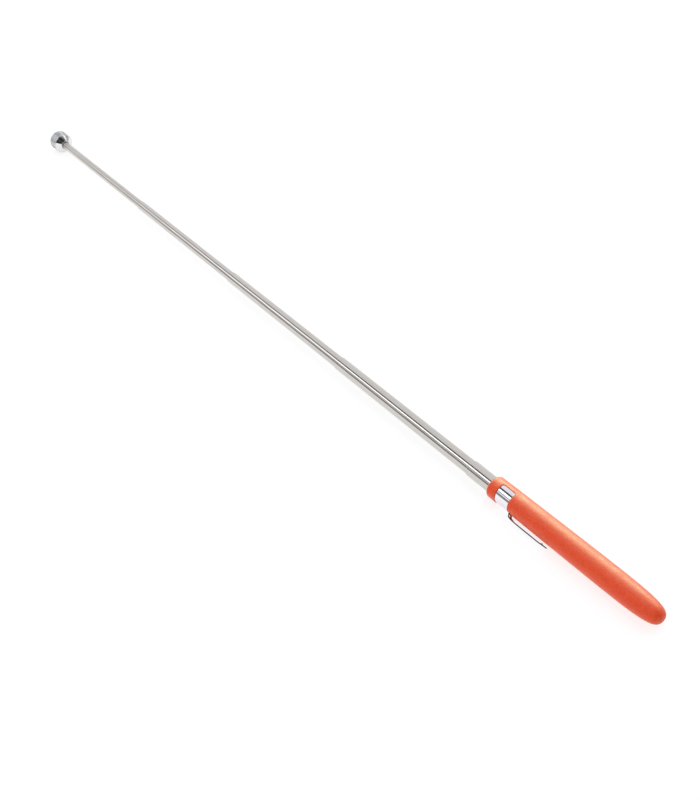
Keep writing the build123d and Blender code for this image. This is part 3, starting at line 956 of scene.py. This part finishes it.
class PICKUPTOOL_OT_clip(bpy.types.Operator):
    """Models the clip as one stamping: a C-shaped band with a sprung arm, flange and pad"""

    bl_idname = "pickuptool.clip"
    bl_label = "Pocket clip"

    columns = 56
    band_columns = 20
    root_columns = 3
    band_half_angle = 126.0
    sheet_radius = 5.87
    band = (6.95, 7.55, 8.25, 10.0, 11.65, 13.3, 15.05, 15.75, 16.35)

    # The arm's rows: place along the tool, height of its middle, half width, how far its
    # edges turn down, and the sheet's slope in degrees.
    arm = [
        (16.85, 5.87, 2.03, 0.36, 2), (17.25, 5.92, 2.02, 0.40, 16),
        (17.58, 6.15, 2.00, 0.50, 46), (17.80, 6.58, 1.98, 0.62, 68),
        (17.98, 7.16, 1.95, 0.74, 74), (18.16, 7.74, 1.92, 0.80, 70),
        (18.42, 8.22, 1.90, 0.84, 54), (18.82, 8.58, 1.86, 0.84, 32),
        (19.40, 8.77, 1.80, 0.78, 10), (20.30, 8.82, 1.74, 0.62, 1),
        (21.60, 8.82, 1.68, 0.42, 0), (23.40, 8.81, 1.63, 0.26, 0),
        (26.00, 8.80, 1.60, 0.18, 0), (30.00, 8.80, 1.60, 0.16, 0),
        (34.50, 8.80, 1.60, 0.16, 0), (38.50, 8.79, 1.60, 0.16, 0),
        (40.10, 8.78, 1.62, 0.16, 0), (40.75, 8.77, 1.84, 0.15, -1),
        (41.20, 8.76, 1.98, 0.14, -2), (42.00, 8.73, 2.00, 0.12, -3),
        (42.80, 8.69, 2.00, 0.12, -3), (43.30, 8.67, 2.00, 0.12, -3),
        (43.80, 8.64, 2.00, 0.12, -3), (44.30, 8.61, 2.00, 0.12, -3),
        (44.80, 8.58, 2.00, 0.12, -3), (45.60, 8.54, 1.98, 0.12, -3),
        (46.25, 8.50, 1.80, 0.12, -3), (46.70, 8.47, 1.40, 0.10, -3),
        (46.98, 8.46, 0.90, 0.06, -3),
    ]
    dimple = 43.8

    def row_places(self, x, height, half_width, turn_down, slope):
        """The row's seven corners: an arc across the strip, square to the sheet's slope."""
        count = 2 * self.root_columns
        lean = math.radians(slope)
        bow = 0.36 * math.pi
        places = []
        for k in range(count + 1):
            share = (2 * k / count) - 1
            across = math.sin(share * bow) / math.sin(bow)
            drop = turn_down * across**2
            places.append(
                Vector((
                    HANDLE_FRONT + x + drop * math.sin(lean),
                    half_width * across,
                    height - drop * math.cos(lean),
                )) * MM
            )
        return places

    def shape_row(self, piece, places):
        """Moves the selected row's corners to their places, from one side to the other."""
        mesh = bmesh.from_edit_mesh(piece.data)
        row = [v.index for v in sorted((v for v in mesh.verts if v.select), key=lambda v: v.co.y)]
        if len(row) != len(places):
            raise RuntimeError(f"the clip's row has {len(row)} corners, not {len(places)}")
        for index, place in zip(row, places):
            mesh = bmesh.from_edit_mesh(piece.data)
            mesh.verts.ensure_lookup_table()
            move = place - mesh.verts[index].co
            choose(piece, "verts", lambda v: v.index == index)
            bpy.ops.transform.translate(value=move)
        chosen = set(row)
        choose(piece, "edges", lambda e: all(v.index in chosen for v in e.verts))

    def execute(self, context):
        first = HANDLE_FRONT + self.band[0]
        piece = start_ring("pocket_clip", first, self.sheet_radius, self.columns)

        def column(point):
            return math.atan2(point.y, point.z) / (2 * math.pi) * self.columns

        choose(
            piece, "edges",
            lambda e: abs(column((e.verts[0].co + e.verts[1].co) / 2)) > self.band_columns,
        )
        bpy.ops.mesh.delete(type="EDGE")
        choose(piece, "edges", lambda e: True)
        for before, after in zip(self.band, self.band[1:]):
            extrude_ring(
                (HANDLE_FRONT + before, self.sheet_radius),
                (HANDLE_FRONT + after, self.sheet_radius),
            )
        # The band's ends are drawn back to its own angle.
        excess = math.radians(self.band_columns * 360 / self.columns - self.band_half_angle)
        for side in (-1, 1):
            choose(piece, "verts", lambda v: abs(column(v.co) - side * self.band_columns) < 0.1)
            bpy.ops.transform.rotate(
                value=side * excess, orient_axis="X", center_override=(0, 0, 0)
            )
        rear = (HANDLE_FRONT + self.band[-1]) * MM
        choose(
            piece, "edges",
            lambda e: all(
                abs(v.co.x - rear) < 0.01 * MM and abs(column(v.co)) < self.root_columns + 0.1
                for v in e.verts
            ),
        )
        for row in self.arm:
            bpy.ops.mesh.extrude_region_move()
            self.shape_row(piece, self.row_places(*row))
        centre = (HANDLE_FRONT + self.dimple) * MM
        for reach, depth in ((1.3, 0.16), (0.9, 0.30), (0.3, 0.30)):
            choose(piece, "verts", lambda v: math.hypot(v.co.x - centre, v.co.y) < reach * MM)
            bpy.ops.transform.translate(value=(0, 0, -depth * MM))
        face_outwards()
        bpy.ops.object.mode_set(mode="OBJECT")
        coat(
            piece,
            metal_finish(
                "bright_clip", context.scene.pickup_colours.clip, (0.55, 0.53, 0.55, 1),
                (0.05, 0.12), (60, 2600, 2600), 0.000004, stain=0.15,
            ),
        )
        piece.data.materials.append(
            metal_finish(
                "sheared_edge", (0.075, 0.072, 0.085, 1), (0.03, 0.03, 0.035, 1),
                (0.28, 0.42), (2600, 2600, 2600), 0.00001,
            )
        )
        add_smoothing(piece)
        sheet = piece.modifiers.new("Sheet", "SOLIDIFY")
        sheet.thickness = context.scene.pickup_sizes.clip_thickness * MM
        sheet.offset = 0
        sheet.use_even_offset = True
        sheet.material_offset_rim = 1
        edge = piece.modifiers.new("Edge", "BEVEL")
        edge.width = 0.09 * MM
        edge.segments = 2
        edge.limit_method = "ANGLE"
        edge.angle_limit = math.radians(55)
        apply_modifiers(piece)
        piece.rotation_euler = (CLIP_TURN, 0, 0)
        deselect_all()
        piece.select_set(True)
        bpy.context.view_layer.objects.active = piece
        bpy.ops.object.transform_apply(location=False, rotation=True, scale=False)
        bpy.ops.object.shade_smooth_by_angle(angle=math.radians(40))
        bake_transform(piece)
        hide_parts("clip_band", "clip_arm")
        return {"FINISHED"}


class PICKUPTOOL_OT_inner_parts(bpy.types.Operator):
    """Gives the parts inside the tubes, head and handle their own finishes"""

    bl_idname = "pickuptool.inner_parts"
    bl_label = "Inner parts"

    def execute(self, context):
        brass = metal_finish(
            "turned_brass", (0.78, 0.58, 0.27, 1), (0.45, 0.30, 0.12, 1),
            (0.18, 0.32), ROUND, 0.000008,
        )
        plastic = moulded_finish(
            "inner_plastic", (0.030, 0.030, 0.033, 1), (0.018, 0.018, 0.020, 1),
            (0.35, 0.5), 3000, 0.00003,
        )
        steel = metal_finish(
            "screw_steel", (0.53, 0.53, 0.54, 1), (0.28, 0.27, 0.26, 1),
            (0.2, 0.36), ROUND, 0.000008,
        )
        spring = metal_finish(
            "spring_bronze", (0.66, 0.48, 0.28, 1), (0.36, 0.24, 0.12, 1),
            (0.2, 0.34), ALONG, 0.000006,
        )
        finishes = {
            "handle_core": plastic,
            "outer_tube_plug": plastic,
            "head_screw": steel,
            "backing_plate": steel,
            "tip_plug": brass,
        }
        for name in TUBE_NAMES[1:]:
            finishes[f"{name}_friction_sleeve"] = spring
            finishes[f"{name}_base_plug"] = brass
        for node, material in finishes.items():
            coat(frame["nodes"][node], material)
        return {"FINISHED"}


# ---------------------------------------------------------------- floor, light and camera


class PICKUPTOOL_OT_studio(bpy.types.Operator):
    """Sets up the pale floor, the soft studio light and the camera"""

    bl_idname = "pickuptool.studio"
    bl_label = "Studio"

    def floor(self):
        deselect_all()
        top = CAD_BOX[0].z - 0.05 * MM
        bpy.ops.mesh.primitive_circle_add(
            vertices=128, radius=3.0, fill_type="NGON", location=(0.3, 0, top)
        )
        floor = bpy.context.object
        floor.name = "studio_floor"
        bpy.ops.object.transform_apply(location=True, rotation=True, scale=True)
        bpy.ops.object.mode_set(mode="EDIT")
        bpy.ops.mesh.select_all(action="SELECT")
        bpy.ops.mesh.inset(thickness=1.5)
        bpy.ops.object.mode_set(mode="OBJECT")
        coat(
            floor,
            moulded_finish(
                "opal_table", (0.26, 0.26, 0.26, 1), (0.25, 0.25, 0.25, 1),
                (0.75, 0.85), 300, 0.00002, glow=0.78,
            ),
        )

    def surroundings(self):
        """A light tent with darker strips that run along the tool. What looks straight at it
        sees a plain backdrop."""
        world = bpy.data.worlds.new("light_tent")
        bpy.context.scene.world = world
        world.use_nodes = True
        nodes, links = world.node_tree.nodes, world.node_tree.links
        nodes.clear()
        direction = nodes.new("ShaderNodeTexCoord")
        split = nodes.new("ShaderNodeSeparateXYZ")
        angle = nodes.new("ShaderNodeMath")
        share = nodes.new("ShaderNodeMath")
        strips = nodes.new("ShaderNodeValToRGB")
        along = nodes.new("ShaderNodeMapRange")
        screens = nodes.new("ShaderNodeValToRGB")
        tent = nodes.new("ShaderNodeMix")
        glow = nodes.new("ShaderNodeBackground")
        path = nodes.new("ShaderNodeLightPath")
        backdrop = nodes.new("ShaderNodeBackground")
        seen = nodes.new("ShaderNodeMixShader")
        output = nodes.new("ShaderNodeOutputWorld")
        for node, label, place in (
            (direction, "Direction in the tent", (-1000, 0)),
            (split, "Its parts", (-800, 0)),
            (angle, "Angle about the tool", (-600, 0)),
            (share, "Half turn as one", (-400, 0)),
            (strips, "White cloth and dark gaps", (-200, 0)),
            (along, "Head end to butt end", (-600, -320)),
            (screens, "Dark screens at the butt end", (-200, -320)),
            (tent, "Cloth and screens", (120, -120)),
            (glow, "Tent glow", (320, 0)),
            (path, "What looks at the tent", (320, 360)),
            (backdrop, "Pale backdrop", (320, -200)),
            (seen, "Backdrop in front of the tent", (540, 0)),
            (output, "Tent", (760, 0)),
        ):
            node.label = label
            node.location = place
        angle.operation = "ARCTAN2"
        share.operation = "MULTIPLY"
        share.inputs[1].default_value = 1 / math.pi
        ramp = strips.color_ramp
        ramp.elements[0].position = 0.0
        ramp.elements[0].color = (0.92, 0.92, 0.93, 1)
        ramp.elements[1].position = 1.0
        ramp.elements[1].color = (0.60, 0.60, 0.60, 1)
        for degrees, tone in (
            (30, (0.95, 0.94, 0.95)), (95, (0.88, 0.87, 0.90)),
            (101, (0.05, 0.045, 0.06)), (116, (0.05, 0.045, 0.06)),
            (119, (2.10, 2.10, 2.12)), (134, (2.10, 2.10, 2.12)),
            (137, (0.34, 0.33, 0.35)), (147, (0.34, 0.33, 0.35)),
            (150, (1.30, 1.30, 1.33)), (153, (1.30, 1.30, 1.33)),
            (157, (0.24, 0.24, 0.25)), (172, (0.24, 0.24, 0.25)),
        ):
            ramp.elements.new(degrees / 180).color = (*tone, 1)
        along.inputs["From Min"].default_value = -1
        screens.color_ramp.elements[0].color = (1, 1, 1, 1)
        screens.color_ramp.elements[1].color = (0.06, 0.06, 0.06, 1)
        for x, tone in (
            (0.30, 1.0), (0.40, 0.50), (0.57, 0.50), (0.61, 1.4), (0.66, 1.4), (0.70, 0.32),
            (0.75, 0.32), (0.79, 0.06),
        ):
            screens.color_ramp.elements.new((x + 1) / 2).color = (tone, tone, tone, 1)
        tent.data_type = "RGBA"
        tent.blend_type = "MULTIPLY"
        tent.inputs["Factor"].default_value = 1
        backdrop.inputs["Color"].default_value = (0.97, 0.97, 0.97, 1)
        links.new(direction.outputs["Generated"], split.inputs["Vector"])
        links.new(split.outputs["Z"], angle.inputs[0])
        links.new(split.outputs["Y"], angle.inputs[1])
        links.new(angle.outputs["Value"], share.inputs[0])
        links.new(share.outputs["Value"], strips.inputs["Fac"])
        links.new(split.outputs["X"], along.inputs["Value"])
        links.new(along.outputs["Result"], screens.inputs["Fac"])
        links.new(strips.outputs["Color"], tent.inputs["A"])
        links.new(screens.outputs["Color"], tent.inputs["B"])
        links.new(tent.outputs["Result"], glow.inputs["Color"])
        links.new(path.outputs["Is Camera Ray"], seen.inputs["Fac"])
        links.new(glow.outputs["Background"], seen.inputs[1])
        links.new(backdrop.outputs["Background"], seen.inputs[2])
        links.new(seen.outputs["Shader"], output.inputs["Surface"])

    def lamps(self):
        middle = Vector((0.32, 0, 0))
        for name, place, size, power, tint in (
            ("overhead_softbox", (0.32, 0.15, 1.5), (1.6, 1.2), 5, (1, 1, 1)),
            ("far_softbox", (0.3, 1.5, 0.9), (1.6, 0.8), 5, (1, 1, 1)),
            ("near_softbox", (0.4, -1.5, 0.8), (1.6, 0.8), 1, (1, 1, 1)),
            ("sleeve_softbox", (-0.40, 0.80, 0.90), (1.9, 0.9), 92, (0.60, 1.0, 0.66)),
        ):
            deselect_all()
            bpy.ops.object.light_add(type="AREA", location=place)
            lamp = bpy.context.object
            lamp.name = name
            lamp.data.name = name
            lamp.data.shape = "RECTANGLE"
            lamp.data.size, lamp.data.size_y = size
            lamp.data.energy = power
            lamp.data.color = tint
            lamp.rotation_euler = (middle - Vector(place)).to_track_quat("-Z", "Y").to_euler()
            lamp.visible_camera = False
            lamp.visible_glossy = name == "sleeve_softbox"
        # The last lamp only gives the sleeve its soft highlight, and leaves the metal alone.
        sleeve_lamp = bpy.data.objects["sleeve_softbox"]
        sleeve_lamp.visible_diffuse = False
        sleeve_only = bpy.data.collections.new("sleeve_only")
        sleeve_only.objects.link(bpy.data.objects["vinyl_sleeve"])
        sleeve_lamp.light_linking.receiver_collection = sleeve_only

    def camera(self, context):
        deselect_all()
        elevation, azimuth = 38.01, 53.05
        bpy.ops.object.camera_add(
            location=(0.8755, -0.3705, 0.4598),
            rotation=(math.radians(90 - elevation), 0, math.radians(azimuth)),
        )
        camera = bpy.context.object
        camera.name = "studio_camera"
        camera.data.lens = context.scene.pickup_sizes.camera_lens
        camera.data.clip_start = 0.01
        camera.data.clip_end = 50
        context.scene.camera = camera

    def execute(self, context):
        self.floor()
        self.surroundings()
        self.lamps()
        self.camera(context)
        context.scene.view_settings.view_transform = "Standard"
        return {"FINISHED"}


class PICKUPTOOL_PT_panel(bpy.types.Panel):
    """Lists the tool's pieces in the sidebar"""

    bl_label = "Pick-up tool"
    bl_idname = "PICKUPTOOL_PT_panel"
    bl_space_type = "VIEW_3D"
    bl_region_type = "UI"
    bl_category = "Pick-up tool"

    def draw(self, context):
        for operator in OPERATORS:
            self.layout.operator(operator.bl_idname)
        for group in (context.scene.pickup_sizes, context.scene.pickup_colours):
            box = self.layout.box()
            for name in group.__annotations__:
                box.prop(group, name)


OPERATORS = (
    PICKUPTOOL_OT_tubes,
    PICKUPTOOL_OT_head,
    PICKUPTOOL_OT_neck,
    PICKUPTOOL_OT_sleeve,
    PICKUPTOOL_OT_clip,
    PICKUPTOOL_OT_inner_parts,
    PICKUPTOOL_OT_studio,
)
CLASSES = (PickupToolSizes, PickupToolColours, *OPERATORS, PICKUPTOOL_PT_panel)


def register():
    for cls in CLASSES:
        bpy.utils.register_class(cls)
    bpy.types.Scene.pickup_sizes = PointerProperty(type=PickupToolSizes)
    bpy.types.Scene.pickup_colours = PointerProperty(type=PickupToolColours)


def unregister():
    del bpy.types.Scene.pickup_colours
    del bpy.types.Scene.pickup_sizes
    for cls in reversed(CLASSES):
        bpy.utils.unregister_class(cls)


def main():
    register()
    bpy.ops.pickuptool.tubes()
    bpy.ops.pickuptool.head()
    bpy.ops.pickuptool.neck()
    bpy.ops.pickuptool.sleeve()
    bpy.ops.pickuptool.clip()
    bpy.ops.pickuptool.inner_parts()
    bpy.ops.pickuptool.studio()


if __name__ == "__main__":
    main()
